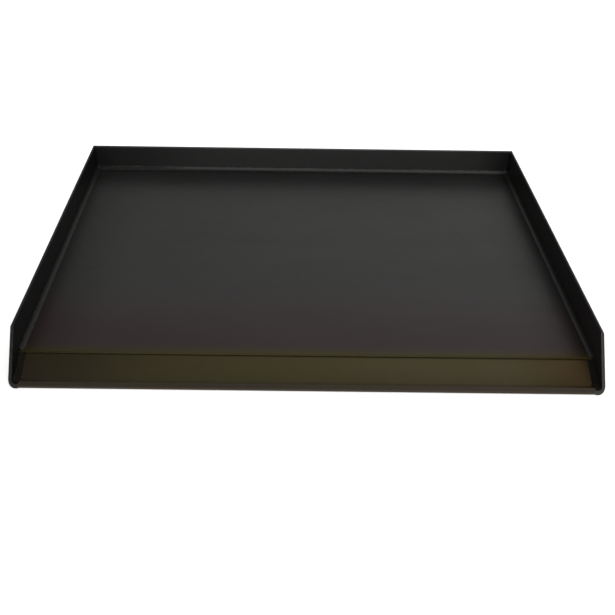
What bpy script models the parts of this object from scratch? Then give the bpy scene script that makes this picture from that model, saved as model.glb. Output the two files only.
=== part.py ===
"""Oil drain pan: a low fabricated sheet steel tray.

Three walls, each folded double from its rim down to the floor, surround a raised
floor.  The front is open: a folded trough slopes down from the floor's edge to
a shallow gutter behind a low flat hem.
Origin: middle of the footprint, on the ground.  X right, Y to the back, Z up.
"""
import bpy
import math

MM = 0.001

# Overall size
WIDTH = 600 * MM
DEPTH = 500 * MM
HEIGHT = 50 * MM

# Sheet and folding
SHEET = 1.5 * MM
FIT_GAP = 0.3 * MM
HEM_SLIT = 0.2 * MM
WALL_FOOT_RADIUS = 7.5 * MM
WALL_FOOT_REACH = 22 * MM
WALL_FRONT_LEAN = 40 * MM
FOOT_FRONT_REACH = 10 * MM
FOOT_START = 24 * MM

# Raised floor
FLOOR_TOP = 15.6 * MM
FLOOR_FRONT = 42 * MM
FLOOR_EDGE_RADIUS = 1.25 * MM
FLOOR_SKIRT_BOTTOM = 8 * MM
FLOOR_BEND_RADIUS = 3 * MM

# Front trough, measured back from the front edge
TROUGH_TAIL = 53 * MM
RAMP_TOP = 40.4 * MM
RAMP_FOOT = 13.5 * MM
RAMP_BEND_RADIUS = 3 * MM
RAMP_FOOT_RADIUS = 2.2 * MM
LIP_DEPTH = 6 * MM
LIP_RISE = 1.3 * MM
TROUGH_END = 10.3 * MM

# Seam beads
COVE_RADIUS = 4.5 * MM
COVE_LIFT = 0.1 * MM
CORNER_RADIUS = 4 * MM
CORNER_TOP = 46 * MM
RAMP_SEAM_START = 5.6 * MM
RAMP_SEAM_RECESS = 0.8 * MM
RAMP_SEAM_DEPTH = 3.5 * MM
RAMP_SEAM_RISE = 2 * MM

# Supports under the floor
STIFFENER_SPACING = 150 * MM
STIFFENER_TOP_WIDTH = 30 * MM
STIFFENER_FOOT = 12 * MM
STIFFENER_SLOPE = 4 * MM
STIFFENER_FRONT = 60 * MM
STIFFENER_BACK = 25 * MM
LEDGE_REACH = 15 * MM

# Curve fineness, segments in a quarter turn
BEND_STEPS = 6
COVE_STEPS = 8

FRONT = -DEPTH / 2
BACK = DEPTH / 2
HEM_WIDTH = 2 * SHEET + HEM_SLIT
HEM_RADIUS = (SHEET + HEM_SLIT) / 2
WEB_X = WIDTH / 2 - SHEET - FIT_GAP
WEB_Y = BACK - SHEET - FIT_GAP
LINER_X = WIDTH / 2 - HEM_WIDTH - FIT_GAP
LINER_Y = BACK - HEM_WIDTH - FIT_GAP
UNDER_FLOOR = FLOOR_TOP - SHEET - FIT_GAP


def clear_scene():
    for item in list(bpy.data.objects):
        bpy.data.objects.remove(item, do_unlink=True)


def make_material(name, colour, metallic, roughness):
    material = bpy.data.materials.new(name)
    material.use_nodes = True
    shader = material.node_tree.nodes["Principled BSDF"]
    shader.inputs["Base Color"].default_value = (*colour, 1.0)
    shader.inputs["Metallic"].default_value = metallic
    shader.inputs["Roughness"].default_value = roughness
    material.diffuse_color = (*colour, 1.0)
    return material


def add_body(name, verts, faces, material, smooth_angle=32):
    """Make one closed body, faces turned outward, round faces shaded smooth."""
    mesh = bpy.data.meshes.new(name)
    mesh.from_pydata(verts, [], faces)
    mesh.validate()
    mesh.update()
    body = bpy.data.objects.new(name, mesh)
    bpy.context.scene.collection.objects.link(body)
    volume = 0.0
    for face in mesh.polygons:
        corners = [mesh.vertices[i].co for i in face.vertices]
        for i in range(1, len(corners) - 1):
            volume += corners[0].dot(corners[i].cross(corners[i + 1]))
    if volume < 0:
        mesh.flip_normals()
    mesh.polygons.foreach_set("use_smooth", [True] * len(mesh.polygons))
    mesh.set_sharp_from_angle(angle=math.radians(smooth_angle))
    mesh.materials.append(material)
    return body


def loft(name, rings, material, folded=True):
    """Join equal rings of points and close both ends, across the thickness if folded sheet."""
    count = len(rings[0])
    verts = [point for ring in rings for point in ring]
    faces = []
    for k in range(len(rings) - 1):
        for i in range(count):
            j = (i + 1) % count
            faces.append((k * count + i, k * count + j, (k + 1) * count + j, (k + 1) * count + i))
    last = (len(rings) - 1) * count
    if folded:
        for i in range(count // 2 - 1):
            j = count - 1 - i
            faces.append((i, j, j - 1, i + 1))
            faces.append((last + i, last + i + 1, last + j - 1, last + j))
    else:
        faces.append(tuple(reversed(range(count))))
        faces.append(tuple(range(last, last + count)))
    return add_body(name, verts, faces, material)


def rounded_path(points, radii, steps=BEND_STEPS):
    """Open path through the points, each inner corner replaced by an arc."""
    path = [points[0]]
    for i in range(1, len(points) - 1):
        before, corner, after = points[i - 1], points[i], points[i + 1]
        in_len = math.dist(before, corner)
        out_len = math.dist(corner, after)
        ux, uy = (before[0] - corner[0]) / in_len, (before[1] - corner[1]) / in_len
        vx, vy = (after[0] - corner[0]) / out_len, (after[1] - corner[1]) / out_len
        inside = math.acos(max(-1.0, min(1.0, ux * vx + uy * vy)))
        turn = math.pi - inside
        radius = radii[i - 1]
        setback = radius / math.tan(inside / 2)
        bx, by = ux + vx, uy + vy
        b_len = math.hypot(bx, by)
        centre_far = radius / math.sin(inside / 2)
        cx, cy = corner[0] + bx / b_len * centre_far, corner[1] + by / b_len * centre_far
        sx, sy = corner[0] + ux * setback - cx, corner[1] + uy * setback - cy
        side = 1.0 if (-ux) * vy - (-uy) * vx > 0 else -1.0
        pieces = max(2, math.ceil(steps * turn / (math.pi / 2)))
        for k in range(pieces + 1):
            a = side * turn * k / pieces
            path.append((cx + sx * math.cos(a) - sy * math.sin(a), cy + sx * math.sin(a) + sy * math.cos(a)))
    path.append(points[-1])
    return path


def sheet_outline(path, thickness=SHEET):
    """Closed outline of a sheet whose middle line is the path."""
    left, right = [], []
    for i, point in enumerate(path):
        before = path[max(i - 1, 0)]
        after = path[min(i + 1, len(path) - 1)]
        normals = []
        for a, b in ((before, point), (point, after)):
            length = math.dist(a, b)
            if length > 0:
                normals.append((-(b[1] - a[1]) / length, (b[0] - a[0]) / length))
        nx = sum(n[0] for n in normals) / len(normals)
        ny = sum(n[1] for n in normals) / len(normals)
        scale = thickness / 2 / (nx * nx + ny * ny)
        left.append((point[0] + nx * scale, point[1] + ny * scale))
        right.append((point[0] - nx * scale, point[1] - ny * scale))
    return left + right[::-1]


def arc_points(cx, cy, radius, start, end, steps):
    """Points of an arc, angles in degrees."""
    result = []
    for k in range(steps + 1):
        a = math.radians(start + (end - start) * k / steps)
        result.append((cx + radius * math.cos(a), cy + radius * math.sin(a)))
    return result


def wall_section():
    """Wall outline, first number measured inward from the outer face."""
    half = SHEET / 2
    fold_z = HEIGHT - half - HEM_RADIUS
    middle = rounded_path(
        [
            (WALL_FOOT_REACH, half),
            (half, half),
            (half, fold_z),
        ],
        [WALL_FOOT_RADIUS - half],
    )
    fold = arc_points(half + HEM_RADIUS, fold_z, HEM_RADIUS, 180, 0, 2 * BEND_STEPS)
    step = [(FOOT_FRONT_REACH + 0.2 * MM, half), (FOOT_FRONT_REACH, half)]
    leg = [(half + 2 * HEM_RADIUS, FLOOR_TOP + FIT_GAP)]
    return sheet_outline(middle[:1] + step + middle[1:-1] + fold + leg)


def foot_clearance(z):
    """How near a fitted piece may come to the outer face of a doubled wall at height z."""
    if z >= WALL_FOOT_RADIUS:
        return HEM_WIDTH + FIT_GAP
    radius = WALL_FOOT_RADIUS - HEM_WIDTH - FIT_GAP - 0.06 * MM
    drop = WALL_FOOT_RADIUS - z
    if drop >= radius:
        return WALL_FOOT_RADIUS + FIT_GAP
    return WALL_FOOT_RADIUS - math.sqrt(radius ** 2 - drop ** 2)


def front_edge(z):
    """Where a side wall starts at height z."""
    return FRONT + WALL_FRONT_LEAN * z / HEIGHT


def build_side_wall(name, side, material):
    front_ring, back_ring = [], []
    for inward, z in wall_section():
        x = side * (WIDTH / 2 - inward)
        start = front_edge(z)
        if inward > FOOT_FRONT_REACH + 0.1 * MM:
            start = FRONT + FOOT_START
        front_ring.append((x, start, z))
        back_ring.append((x, BACK - inward - FIT_GAP / 2, z))
    wall = loft(name, [front_ring, back_ring], material)
    join(wall, front_liner(name + "_liner", side, material))
    return wall


def front_liner(name, side, material):
    """Lower part of the doubled wall in front of the floor, down to the foot bend."""
    overlap = 0.1 * MM
    thickness = HEM_WIDTH - SHEET + overlap
    centre = SHEET - overlap + thickness / 2
    path = rounded_path(
        [(FOOT_FRONT_REACH, centre), (centre, centre), (centre, FLOOR_TOP + 3 * MM)],
        [WALL_FOOT_RADIUS - centre - 0.4 * MM],
    )
    near, far = [], []
    for inward, z in sheet_outline(path, thickness - 0.02 * MM):
        x = side * (WIDTH / 2 - inward)
        near.append((x, front_edge(z) + 0.02 * MM, z))
        far.append((x, FRONT + FLOOR_FRONT - 2 * FIT_GAP, z))
    return loft(name, [near, far], material)


def join(body, tool):
    """Make one body of the two, then remove the second."""
    joint = body.modifiers.new("joined", "BOOLEAN")
    joint.operation = "UNION"
    joint.solver = "EXACT"
    joint.object = tool
    tool.hide_render = True
    tool.display_type = "WIRE"
    depsgraph = bpy.context.evaluated_depsgraph_get()
    joined = bpy.data.meshes.new_from_object(body.evaluated_get(depsgraph))
    body.modifiers.clear()
    body.data = joined
    joined.polygons.foreach_set("use_smooth", [True] * len(joined.polygons))
    joined.set_sharp_from_angle(angle=math.radians(32))
    bpy.data.objects.remove(tool, do_unlink=True)


def build_back_wall(material):
    left_ring, right_ring = [], []
    for inward, z in wall_section():
        y = BACK - inward
        reach = WIDTH / 2 - inward - FIT_GAP / 2
        left_ring.append((-reach, y, z))
        right_ring.append((reach, y, z))
    return loft("back_wall", [left_ring, right_ring], material)


def build_floor_panel(material):
    """Flat floor with side skirts folded down and its front edge rounded over."""
    half = SHEET / 2
    edge = WEB_X - half
    top = FLOOR_TOP - half
    middle = rounded_path(
        [(-edge, FLOOR_SKIRT_BOTTOM), (-edge, top), (edge, top), (edge, FLOOR_SKIRT_BOTTOM)],
        [FLOOR_BEND_RADIUS - half, FLOOR_BEND_RADIUS - half],
    )
    section = sheet_outline(middle)
    rings = []
    for angle in (8, 30, 60, 90):
        a = math.radians(angle)
        front = FRONT + FLOOR_FRONT + FLOOR_EDGE_RADIUS * (1 - math.cos(a))
        drop = FLOOR_EDGE_RADIUS * (1 - math.sin(a))
        rings.append([(x, front, z - (drop if z > FLOOR_TOP - 0.2 * MM else 0.0)) for x, z in section])
    rings.append([(x, WEB_Y, z) for x, z in section])
    return loft("floor_panel", rings, material)


def trough_middle():
    """Middle line of the trough, first number measured back from the front."""
    half = SHEET / 2
    tail_z = UNDER_FLOOR - half
    nose = HEM_WIDTH / 2
    middle = rounded_path(
        [
            (TROUGH_TAIL, tail_z),
            (RAMP_TOP, tail_z),
            (RAMP_FOOT, half),
            (nose, half),
        ],
        [RAMP_BEND_RADIUS, RAMP_FOOT_RADIUS],
    )
    fold = arc_points(nose, nose, HEM_RADIUS, 270, 90, 2 * BEND_STEPS)
    return middle[:-1] + fold + [(LIP_DEPTH, HEM_WIDTH - half + LIP_RISE)]


def build_front_trough(material):
    section = sheet_outline(trough_middle())
    reach = WIDTH / 2 - TROUGH_END
    rings = [[(x, FRONT + back_by, z) for back_by, z in section] for x in (-reach, reach)]
    return loft("front_trough", rings, material)


def ramp_height(back_by):
    """Upper face of the ramp, back_by behind the front edge."""
    half = SHEET / 2
    slope = (UNDER_FLOOR - SHEET) / (RAMP_TOP - RAMP_FOOT)
    angle = math.atan(slope)
    shift = half * math.tan(angle / 2)
    height = SHEET + (back_by - RAMP_FOOT + shift) * slope
    return min(height, UNDER_FLOOR)


def build_ramp_seam(name, side, material):
    """Sunken bead that fills the slot between the end of the ramp and the side wall."""
    inner = WIDTH / 2 - TROUGH_END + FIT_GAP
    end = FLOOR_FRONT - 2 * FIT_GAP
    steps = 8
    rings = []
    for k in range(steps + 1):
        back_by = RAMP_SEAM_START + (end - RAMP_SEAM_START) * k / steps
        foot_top = HEM_WIDTH + FIT_GAP
        top = max(ramp_height(back_by) - RAMP_SEAM_RECESS, foot_top + RAMP_SEAM_RECESS)
        low = max(top - RAMP_SEAM_DEPTH, foot_top)
        high = top + RAMP_SEAM_RISE
        y = FRONT + back_by
        ring = []
        for i in range(5):
            z = low + (high - low) * i / 4
            ring.append((side * (WIDTH / 2 - foot_clearance(z)), y, z))
        outer = ring[-1][0]
        for i in range(1, 4):
            t = i / 4
            ring.append((outer + (side * inner - outer) * t, y, top + RAMP_SEAM_RISE * (1 - t) ** 2))
        ring.append((side * inner, y, top))
        ring.append((side * inner, y, low))
        rings.append(ring)
    return loft(name, rings, material, folded=False)


def cove_section(wall):
    """Cove outline against a wall whose inner face is at distance wall from the middle."""
    low = FLOOR_TOP + FIT_GAP
    high = low + COVE_LIFT + COVE_RADIUS
    points = [(wall, low)]
    points += arc_points(wall - COVE_RADIUS, high, COVE_RADIUS, 0, -90, COVE_STEPS)
    points.append((wall - COVE_RADIUS, low))
    return points


def build_side_bead(name, side, material):
    """Cove bead along the foot of a side wall, mitred at the back corner."""
    front_ring, back_ring = [], []
    for x, z in cove_section(LINER_X):
        front_ring.append((side * x, FRONT + FLOOR_FRONT + FLOOR_EDGE_RADIUS, z))
        back_ring.append((side * x, LINER_Y - (LINER_X - x) - FIT_GAP / 2, z))
    return loft(name, [front_ring, back_ring], material, folded=False)


def build_back_bead(material):
    left_ring, right_ring = [], []
    for y, z in cove_section(LINER_Y):
        reach = LINER_X - (LINER_Y - y) - FIT_GAP / 2
        left_ring.append((-reach, y, z))
        right_ring.append((reach, y, z))
    return loft("back_seam_bead", [left_ring, right_ring], material, folded=False)


def build_corner_weld(name, side, material):
    """Upright concave bead in a back corner, above the floor beads."""
    low = FLOOR_TOP + COVE_LIFT + COVE_RADIUS + 2 * FIT_GAP
    radius = CORNER_RADIUS
    points = [(LINER_X, LINER_Y)]
    points += arc_points(LINER_X - radius, LINER_Y - radius, radius, 90, 0, COVE_STEPS)
    rings = []
    for z in (low, CORNER_TOP):
        rings.append([(side * x, y, z) for x, y in points])
    return loft(name, rings, material, folded=False)


def build_back_ledge(material):
    """Angle under the back edge of the floor."""
    half = SHEET / 2
    middle = rounded_path(
        [
            (WEB_Y - half, FLOOR_SKIRT_BOTTOM),
            (WEB_Y - half, UNDER_FLOOR - half),
            (WEB_Y - LEDGE_REACH, UNDER_FLOOR - half),
        ],
        [1.8 * MM],
    )
    section = sheet_outline(middle)
    reach = WEB_X - SHEET - 1.0 * MM
    rings = [[(x, y, z) for y, z in section] for x in (-reach, reach)]
    return loft("back_ledge", rings, material)


def build_stiffener(name, centre_x, material):
    """Hat section that stands on the ground and carries the floor."""
    half = SHEET / 2
    top = UNDER_FLOOR - half
    top_x = STIFFENER_TOP_WIDTH / 2
    foot_x = top_x + STIFFENER_SLOPE
    middle = rounded_path(
        [
            (-foot_x - STIFFENER_FOOT, half),
            (-foot_x, half),
            (-top_x, top),
            (top_x, top),
            (foot_x, half),
            (foot_x + STIFFENER_FOOT, half),
        ],
        [2 * MM] * 4,
        steps=4,
    )
    section = sheet_outline(middle)
    rings = []
    for y in (FRONT + STIFFENER_FRONT, BACK - STIFFENER_BACK):
        rings.append([(centre_x + x, y, z) for x, z in section])
    return loft(name, rings, material)


def build():
    clear_scene()
    paint = make_material("black_satin_paint", (0.012, 0.012, 0.013), 0.0, 0.38)
    trough_paint = make_material("oil_filmed_black_paint", (0.022, 0.019, 0.011), 0.0, 0.34)
    bead_paint = make_material("painted_seam_bead", (0.014, 0.014, 0.014), 0.0, 0.42)
    under_paint = make_material("black_primer", (0.02, 0.02, 0.021), 0.0, 0.6)

    build_floor_panel(paint)
    build_front_trough(trough_paint)
    build_side_wall("left_wall", -1, paint)
    build_side_wall("right_wall", 1, paint)
    build_back_wall(paint)
    build_side_bead("left_seam_bead", -1, bead_paint)
    build_side_bead("right_seam_bead", 1, bead_paint)
    build_back_bead(bead_paint)
    build_ramp_seam("left_ramp_seam", -1, bead_paint)
    build_ramp_seam("right_ramp_seam", 1, bead_paint)
    build_corner_weld("back_left_corner_weld", -1, bead_paint)
    build_corner_weld("back_right_corner_weld", 1, bead_paint)
    build_back_ledge(under_paint)
    for name, step in (("left_stiffener", -1), ("middle_stiffener", 0), ("right_stiffener", 1)):
        build_stiffener(name, step * STIFFENER_SPACING, under_paint)


build()
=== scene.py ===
import bpy
import math
from mathutils import Matrix, Vector


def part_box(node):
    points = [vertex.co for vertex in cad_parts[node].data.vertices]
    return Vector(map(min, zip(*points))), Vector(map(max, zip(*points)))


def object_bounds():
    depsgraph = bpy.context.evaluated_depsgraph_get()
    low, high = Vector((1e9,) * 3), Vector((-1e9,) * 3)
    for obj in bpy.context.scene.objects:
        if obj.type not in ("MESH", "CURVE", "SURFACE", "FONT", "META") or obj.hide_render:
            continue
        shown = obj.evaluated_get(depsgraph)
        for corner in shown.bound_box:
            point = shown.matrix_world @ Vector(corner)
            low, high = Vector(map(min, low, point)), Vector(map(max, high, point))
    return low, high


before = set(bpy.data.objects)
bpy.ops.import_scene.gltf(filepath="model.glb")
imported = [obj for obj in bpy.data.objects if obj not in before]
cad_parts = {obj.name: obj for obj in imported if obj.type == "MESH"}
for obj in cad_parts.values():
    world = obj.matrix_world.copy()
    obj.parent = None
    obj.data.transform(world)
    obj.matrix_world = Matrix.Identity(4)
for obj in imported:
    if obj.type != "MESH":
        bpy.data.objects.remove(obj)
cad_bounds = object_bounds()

MM = 0.001

# ------------------------------------------------------------------- places

LEFT_SIDE = cad_bounds[0][0]
RIGHT_SIDE = cad_bounds[1][0]
TRAY_FRONT = cad_bounds[0][1]
FLOOR_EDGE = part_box("floor_panel")[0][1]

# Where the paint changes: each pair runs from the untouched end to the changed end
FLOOR_BLUSH = (FLOOR_EDGE + 148 * MM, FLOOR_EDGE + 58 * MM)
# Painted shade with a reddish tone: the floor's shine darker towards the front
FLOOR_FRONT_SHADE = (FLOOR_EDGE + 118 * MM, FLOOR_EDGE + 8 * MM)
FLOOR_LEFT_SHADE = (LEFT_SIDE + 95 * MM, LEFT_SIDE + 10 * MM)
FLOOR_RIGHT_SHADE = (RIGHT_SIDE - 75 * MM, RIGHT_SIDE - 10 * MM)
FLOOR_FILM = (FLOOR_EDGE + 20 * MM, FLOOR_EDGE + 4 * MM)
FLOOR_ROUNDING = (FLOOR_EDGE + 2 * MM, FLOOR_EDGE + 0.8 * MM)
# Painted shade: the oil's shine darker and browner towards the left end
OIL_LEFT_SHADE = (LEFT_SIDE + 180 * MM, LEFT_SIDE)
RUSTY_OIL = (RIGHT_SIDE - 110 * MM, RIGHT_SIDE - 10 * MM)
GUTTER = (TRAY_FRONT + 32 * MM, TRAY_FRONT + 10 * MM)
LIP_TO_OIL = (TRAY_FRONT + 5.4 * MM, TRAY_FRONT + 8 * MM)
# Painted shade on the back wall, darker towards its left and right corners
BACK_LEFT_SHADE = (LEFT_SIDE + 220 * MM, LEFT_SIDE + 80 * MM)
BACK_RIGHT_SHADE = (RIGHT_SIDE - 40 * MM, RIGHT_SIDE + 7 * MM)
BEAD_DULLING = (LEFT_SIDE + 150 * MM, LEFT_SIDE + 75 * MM)


# ---------------------------------------------------------------- materials

# Texture scales, as noise features per metre
SMEARS = 5.0
CLOUDS = 7.0
BLOTCHES = 11.0
FILM_BORDER = 14.0
SHADE_BORDER = 18.0
WAVES = 34.0
SPECKS = 95.0
CHIPS = 420.0
ORANGE_PEEL = 900.0

# Depths of the texture and reach of the rubbed edges
PEEL_DEPTH = 0.06 * MM
WAVE_DEPTH = 0.12 * MM
EDGE_REACH = 0.9 * MM

CLEAR = (1.0, 1.0, 1.0)
NO_SHINE = (0.0, 0.0, 0.0)
OLIVE = (1.0, 0.90, 0.47)
AMBER = (1.0, 0.86, 0.62)
BROWN_SHADE = (0.42, 0.38, 0.33)
RUSTY = (0.80, 0.50, 0.24)
WORN_LIP = (1.0, 0.85, 0.73)
RED_SHADE = (0.84, 0.76, 0.75)
OIL_BROWN = (0.0200, 0.0170, 0.0040)
RED_BLACK = (0.0130, 0.0057, 0.0055)
SHADE_BLACK = (0.0020, 0.0020, 0.0020)
RUBBED = (0.16, 0.15, 0.14)


class Nodes:
    """Short calls for building a node tree."""

    def __init__(self, tree):
        self.tree = tree

    def add(self, kind, **settings):
        node = self.tree.nodes.new(kind)
        for key, value in settings.items():
            setattr(node, key, value)
        return node

    def link(self, source, target):
        self.tree.links.new(source, target)

    def math(self, operation, *values):
        node = self.add("ShaderNodeMath", operation=operation)
        for socket, value in zip(node.inputs, values):
            if isinstance(value, (int, float)):
                socket.default_value = value
            else:
                self.link(value, socket)
        return node.outputs["Value"]

    def plus(self, value, factor, amount):
        return self.math("ADD", value, self.math("MULTIPLY", factor, amount))

    def remap(self, value, low, high, easing="SMOOTHSTEP"):
        node = self.add("ShaderNodeMapRange", interpolation_type=easing)
        self.link(value, node.inputs["Value"])
        node.inputs["From Min"].default_value = low
        node.inputs["From Max"].default_value = high
        return node.outputs["Result"]


class Graph(Nodes):
    """One procedural material, laid out in the object's own space."""

    def __init__(self, name):
        self.material = bpy.data.materials.new(name)
        self.material.use_nodes = True
        super().__init__(self.material.node_tree)
        self.shader = self.tree.nodes["Principled BSDF"]
        self.place = self.add("ShaderNodeTexCoord").outputs["Object"]

    def noise(self, scale, detail=3.0, roughness=0.55, stretch=None):
        node = self.add("ShaderNodeTexNoise")
        place = self.place
        if stretch:
            mapping = self.add("ShaderNodeMapping")
            self.link(place, mapping.inputs["Vector"])
            mapping.inputs["Scale"].default_value = stretch
            place = mapping.outputs["Vector"]
        self.link(place, node.inputs["Vector"])
        node.inputs["Scale"].default_value = scale
        node.inputs["Detail"].default_value = detail
        node.inputs["Roughness"].default_value = roughness
        return node.outputs["Fac"]

    def fade(self, letter, span, wander=0.0, border=FILM_BORDER):
        """0 to 1 along an axis, from the first place of the span to the second."""
        parts = self.add("ShaderNodeSeparateXYZ")
        self.link(self.place, parts.inputs["Vector"])
        place = parts.outputs[letter]
        if wander:
            place = self.plus(place, self.noise(border), wander)
        return self.remap(place, *span)

    def mix(self, factor, first, second, amount=1.0):
        if amount < 1.0:
            factor = self.math("MULTIPLY", factor, amount)
        node = self.add("ShaderNodeMix", data_type="RGBA")
        self.link(factor, node.inputs["Factor"])
        for socket, value in ((node.inputs[6], first), (node.inputs[7], second)):
            if isinstance(value, tuple):
                socket.default_value = (*value, 1.0)
            else:
                self.link(value, socket)
        return node.outputs[2]

    def bump(self, height, depth, normal=None):
        node = self.add("ShaderNodeBump")
        self.link(height, node.inputs["Height"])
        node.inputs["Distance"].default_value = depth
        if normal is not None:
            self.link(normal, node.inputs["Normal"])
        return node.outputs["Normal"]

    def near_edges(self):
        """White where the surface turns within the reach of a rubbed edge."""
        bevel = self.add("ShaderNodeBevel", samples=6)
        bevel.inputs["Radius"].default_value = EDGE_REACH
        geometry = self.add("ShaderNodeNewGeometry")
        dot = self.add("ShaderNodeVectorMath", operation="DOT_PRODUCT")
        self.link(bevel.outputs["Normal"], dot.inputs[0])
        self.link(geometry.outputs["Normal"], dot.inputs[1])
        return self.remap(dot.outputs["Value"], 0.995, 0.86)


def oil_tint(graph, strength=1.0):
    """Tint of the shine on olive oil: darker and browner at the left end as painted shade, rusty at the
    right end.
    """
    olive, amber, left_shade, rusty = (
        tuple(strength * v for v in colour) for colour in (OLIVE, AMBER, BROWN_SHADE, RUSTY)
    )
    blotch = graph.remap(graph.noise(BLOTCHES), 0.45, 0.7)
    tint = graph.mix(blotch, olive, amber, amount=0.35)
    # Painted shade with a browner tone towards the left end
    tint = graph.mix(graph.fade("X", OIL_LEFT_SHADE), tint, left_shade)
    return graph.mix(graph.fade("X", RUSTY_OIL), tint, rusty)


def floor_tint(graph):
    """Clear shine with painted shade: darker and redder towards the front, darker towards the side walls;
    oil along the edge.
    """
    # Painted shade with a reddish tone on the shine towards the front
    tint = graph.mix(graph.fade("Y", FLOOR_FRONT_SHADE), CLEAR, RED_SHADE)
    oily = graph.fade("Y", FLOOR_FILM, wander=5 * MM)
    tint = graph.mix(oily, tint, oil_tint(graph, strength=0.76))
    # Painted shade on the shine towards the side walls
    tint = graph.mix(graph.fade("X", FLOOR_LEFT_SHADE), tint, NO_SHINE, amount=0.5)
    return graph.mix(graph.fade("X", FLOOR_RIGHT_SHADE), tint, NO_SHINE, amount=0.35)


def trough_tint(graph):
    """Oily shine on the ramp and the gutter, and a worn, nearly clear lip."""
    oily = graph.fade("Y", LIP_TO_OIL, wander=0.4 * MM)
    return graph.mix(oily, WORN_LIP, oil_tint(graph))


def paint(name, base, tinge, rough, level=0.5, grain=1.0, wear=0.35, patches=(), matt=(), tint=None):
    """Black paint over steel: mottling, smears, specks, orange peel and rubbed edges.

    patches are (axis, span, wander, border, amount, colour), laid over the colour in turn;
    matt are (axis, span, added roughness); tint builds the tint of the shine.
    """
    graph = Graph(name)
    shader = graph.shader
    cloud = graph.remap(graph.noise(CLOUDS, 4.0), 0.32, 0.68)
    speck = graph.remap(graph.noise(SPECKS), 0.3, 0.7)
    smear = graph.remap(graph.noise(SMEARS, 5.0, 0.6, stretch=(0.6, 5.0, 5.0)), 0.45, 0.75)

    colour = graph.mix(cloud, base, tinge)
    darker = tuple(0.78 * v for v in base)
    colour = graph.mix(speck, colour, darker, amount=0.5)
    for letter, span, wander, border, amount, patch in patches:
        colour = graph.mix(graph.fade(letter, span, wander, border), colour, patch, amount)
    chips = graph.remap(graph.noise(CHIPS, 4.0), 0.42, 0.7)
    rubbed = graph.math("MULTIPLY", graph.near_edges(), chips)
    colour = graph.mix(rubbed, colour, RUBBED, amount=wear)
    graph.link(colour, shader.inputs["Base Color"])

    gloss = graph.plus(rough - 0.03, cloud, 0.04)
    gloss = graph.plus(gloss, smear, 0.035)
    gloss = graph.plus(gloss, speck, 0.015)
    for letter, span, amount in matt:
        gloss = graph.plus(gloss, graph.fade(letter, span), amount)
    graph.link(gloss, shader.inputs["Roughness"])

    peel = graph.bump(graph.noise(ORANGE_PEEL, 2.0), PEEL_DEPTH * grain)
    waves = graph.bump(graph.noise(WAVES, 2.0), WAVE_DEPTH * grain, peel)
    graph.link(waves, shader.inputs["Normal"])

    if tint:
        graph.link(tint(graph), shader.inputs["Specular Tint"])
    shader.inputs["Specular IOR Level"].default_value = level
    return graph.material


BLUSH_PATCH = ("Y", FLOOR_BLUSH, 0.0, FILM_BORDER, 0.85, RED_BLACK)
FILM_PATCH = ("Y", FLOOR_FILM, 5 * MM, FILM_BORDER, 1.0, OIL_BROWN)
# Painted shade: the back wall's colour darkened towards both back corners
LEFT_SHADE_PATCH = ("X", BACK_LEFT_SHADE, 30 * MM, SHADE_BORDER, 0.9, SHADE_BLACK)
RIGHT_SHADE_PATCH = ("X", BACK_RIGHT_SHADE, 30 * MM, SHADE_BORDER, 0.9, SHADE_BLACK)

FLOOR = dict(
    base=(0.0078, 0.0076, 0.0074), tinge=(0.0096, 0.0091, 0.0089), rough=0.37,
    patches=(BLUSH_PATCH, FILM_PATCH), matt=(("Y", FLOOR_ROUNDING, 0.22),), tint=floor_tint,
)
# Lit and shaded copies of one paint: the left wall's is darker and less shiny as painted shade, the right
# wall's lighter and shinier as painted light
SHADED_LEFT_WALL = dict(
    base=(0.0050, 0.0049, 0.0049), tinge=(0.0062, 0.0060, 0.0060), rough=0.40, level=0.20,
)
LIT_RIGHT_WALL = dict(
    base=(0.0135, 0.0121, 0.0120), tinge=(0.0155, 0.0138, 0.0136), rough=0.42, level=0.38,
)
BACK_WALL = dict(
    base=(0.0145, 0.0143, 0.0141), tinge=(0.0165, 0.0160, 0.0158), rough=0.37,
    patches=(LEFT_SHADE_PATCH, RIGHT_SHADE_PATCH),
)
TROUGH = dict(
    base=(0.0118, 0.0092, 0.0032), tinge=(0.0138, 0.0104, 0.0036), rough=0.38,
    matt=(("Y", GUTTER, 0.14),), tint=trough_tint,
)
BEAD = dict(
    base=(0.0078, 0.0076, 0.0074), tinge=(0.0100, 0.0094, 0.0090), rough=0.40, level=0.36,
    grain=1.2,
)
# Shaded copy of the bead paint: the left bead's shine dimmed as painted shade
LEFT_BEAD = dict(BEAD, level=0.23)
RIGHT_BEAD = dict(BEAD, level=0.37)
BACK_BEAD = dict(BEAD, matt=(("X", BEAD_DULLING, 0.45),))
CORNER_WELD = dict(
    base=(0.0050, 0.0048, 0.0046), tinge=(0.0064, 0.0060, 0.0058), rough=0.62, level=0.16,
    grain=1.5, wear=0.1,
)
RAMP_SEAM = dict(
    base=(0.0066, 0.0050, 0.0032), tinge=(0.0088, 0.0064, 0.0044), rough=0.80, level=0.10,
    grain=3.0, wear=0.1,
)
PRIMER = dict(
    base=(0.020, 0.020, 0.021), tinge=(0.026, 0.025, 0.025), rough=0.62, grain=2.0,
)

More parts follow.
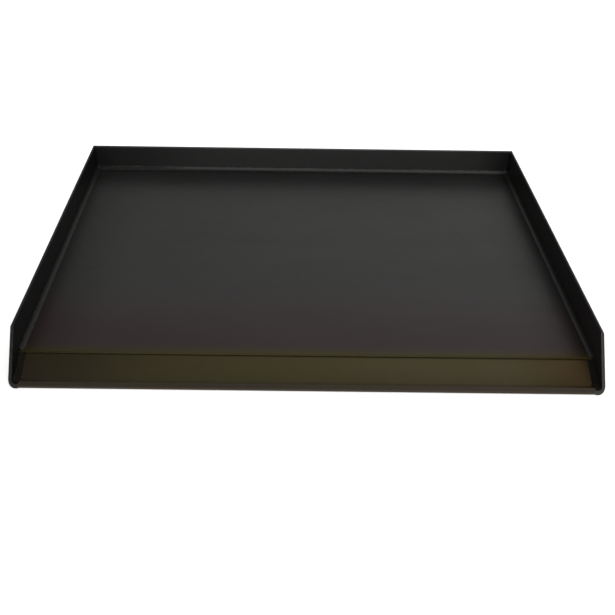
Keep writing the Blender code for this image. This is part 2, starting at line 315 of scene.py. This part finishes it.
# Each node's material, its recipe and the record's slot
FINISH = {
    "floor_panel": ("floor paint", FLOOR, "black_satin_paint"),
    "left_wall": ("left wall paint", SHADED_LEFT_WALL, "black_satin_paint"),
    "right_wall": ("right wall paint", LIT_RIGHT_WALL, "black_satin_paint"),
    "back_wall": ("back wall paint", BACK_WALL, "black_satin_paint"),
    "front_trough": ("oiled trough paint", TROUGH, "oil_filmed_black_paint"),
    "left_seam_bead": ("left bead paint", LEFT_BEAD, "painted_seam_bead"),
    "right_seam_bead": ("right bead paint", RIGHT_BEAD, "painted_seam_bead"),
    "back_seam_bead": ("back bead paint", BACK_BEAD, "painted_seam_bead"),
    "left_ramp_seam": ("ramp seam paint", RAMP_SEAM, "painted_seam_bead"),
    "right_ramp_seam": ("ramp seam paint", RAMP_SEAM, "painted_seam_bead"),
    "back_left_corner_weld": ("corner weld paint", CORNER_WELD, "painted_seam_bead"),
    "back_right_corner_weld": ("corner weld paint", CORNER_WELD, "painted_seam_bead"),
    "back_ledge": ("primer", PRIMER, "black_primer"),
    "left_stiffener": ("primer", PRIMER, "black_primer"),
    "middle_stiffener": ("primer", PRIMER, "black_primer"),
    "right_stiffener": ("primer", PRIMER, "black_primer"),
}

made = {}
for node_name, (label, recipe, slot) in FINISH.items():
    if label not in made:
        made[label] = paint(label, **recipe)
    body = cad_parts[node_name]
    body.data.materials.clear()
    body.data.materials.append(made[label])


# -------------------------------------------------------------------- stage

GROUND_HALF = 60.0
GROUND_DROP = 0.5 * MM
GROUND_GLOW = 0.55
WARM_WHITE = (1.0, 0.99, 0.975, 1.0)

# Brightness of the sky by height, from the horizon (0) to straight up (1)
DOME = [(0.0, 0.05), (0.30, 0.17), (0.545, 0.42), (0.86, 0.36), (0.97, 0.32), (1.0, 1.0)]
# How much brighter the sky is towards +X
DOME_TILT = 0.65
# Soft lights in the sky: direction, half width in degrees, brightness
LOBES = [
    ((0.44, -0.24, 0.87), 41, 1.18),
    ((-0.10, -0.90, 0.38), 42, 1.70),
    ((0.50, 0.72, 0.50), 58, 0.22),
]


def build_ground():
    """Pale paper, just under the tray, that glows a little so that it renders white."""
    mesh = bpy.data.meshes.new("ground")
    turns = ((-1, -1), (1, -1), (1, 1), (-1, 1))
    corners = [(GROUND_HALF * x, GROUND_HALF * y, -GROUND_DROP) for x, y in turns]
    mesh.from_pydata(corners, [], [(0, 1, 2, 3)])
    ground = bpy.data.objects.new("ground", mesh)
    bpy.context.scene.collection.objects.link(ground)
    graph = Graph("pale paper")
    tone = graph.mix(graph.noise(3.0, 2.0), (0.90, 0.90, 0.90), (0.92, 0.92, 0.92))
    graph.link(tone, graph.shader.inputs["Base Color"])
    graph.shader.inputs["Roughness"].default_value = 0.9
    graph.shader.inputs["Emission Color"].default_value = (1.0, 1.0, 1.0, 1.0)
    graph.shader.inputs["Emission Strength"].default_value = GROUND_GLOW
    mesh.materials.append(graph.material)


def lobe(sky, direction, aim, half_width):
    """Soft round light: 1 in the middle of the aimed direction, 0 beyond its half width."""
    dot = sky.add("ShaderNodeVectorMath", operation="DOT_PRODUCT")
    sky.link(direction, dot.inputs[0])
    dot.inputs[1].default_value = Vector(aim).normalized()
    edge = math.cos(math.radians(half_width))
    return sky.remap(dot.outputs["Value"], edge, 1.0, easing="SMOOTHERSTEP")


def build_dome():
    """Sky that lights the tray: dim at the horizon, brighter above, with three soft lights."""
    world = bpy.data.worlds.new("studio")
    bpy.context.scene.world = world
    world.use_nodes = True
    sky = Nodes(world.node_tree)
    background = sky.tree.nodes["Background"]
    direction = sky.add("ShaderNodeTexCoord").outputs["Generated"]
    parts = sky.add("ShaderNodeSeparateXYZ")
    sky.link(direction, parts.inputs["Vector"])

    rise = sky.add("ShaderNodeValToRGB")
    sky.link(parts.outputs["Z"], rise.inputs["Fac"])
    rise.color_ramp.interpolation = "EASE"
    stops = rise.color_ramp.elements
    (_, lowest), *middle, (_, highest) = DOME
    stops[0].color = (lowest, lowest, lowest, 1.0)
    stops[1].color = (highest, highest, highest, 1.0)
    for position, level in middle:
        stops.new(position).color = (level, level, level, 1.0)

    tilt = sky.math("MULTIPLY_ADD", parts.outputs["X"], DOME_TILT, 1.0)
    level = sky.math("MULTIPLY", rise.outputs["Color"], tilt)
    for aim, half_width, strength in LOBES:
        level = sky.math("MULTIPLY_ADD", lobe(sky, direction, aim, half_width), strength, level)
    sky.link(level, background.inputs["Strength"])
    background.inputs["Color"].default_value = WARM_WHITE


build_ground()
build_dome()


# ------------------------------------------------------------------- camera

CAMERA_PLACE = (-0.02389, -0.97315, 0.56742)
PITCH = math.radians(33.151)
YAW = math.radians(-0.348)
ROLL = math.radians(0.887)
SENSOR_WIDTH = 36.0
FOCAL_LENGTH = 53.44
SHIFT_X = 0.03015
SHIFT_Y = 0.0079


def build_camera():
    forward = Vector((-math.sin(YAW) * math.cos(PITCH), math.cos(YAW) * math.cos(PITCH), -math.sin(PITCH)))
    right = Vector((math.cos(YAW), math.sin(YAW), 0.0))
    up = right.cross(forward)
    rolled_right = right * math.cos(ROLL) + up * math.sin(ROLL)
    rolled_up = up * math.cos(ROLL) - right * math.sin(ROLL)
    turn = Matrix((rolled_right, rolled_up, -forward)).transposed()
    lens = bpy.data.cameras.new("camera")
    lens.sensor_width = SENSOR_WIDTH
    lens.lens = FOCAL_LENGTH
    lens.shift_x = SHIFT_X
    lens.shift_y = SHIFT_Y
    camera = bpy.data.objects.new("camera", lens)
    camera.matrix_world = Matrix.Translation(CAMERA_PLACE) @ turn.to_4x4()
    bpy.context.scene.collection.objects.link(camera)
    bpy.context.scene.camera = camera


build_camera()
bpy.context.scene.view_settings.view_transform = "Standard"
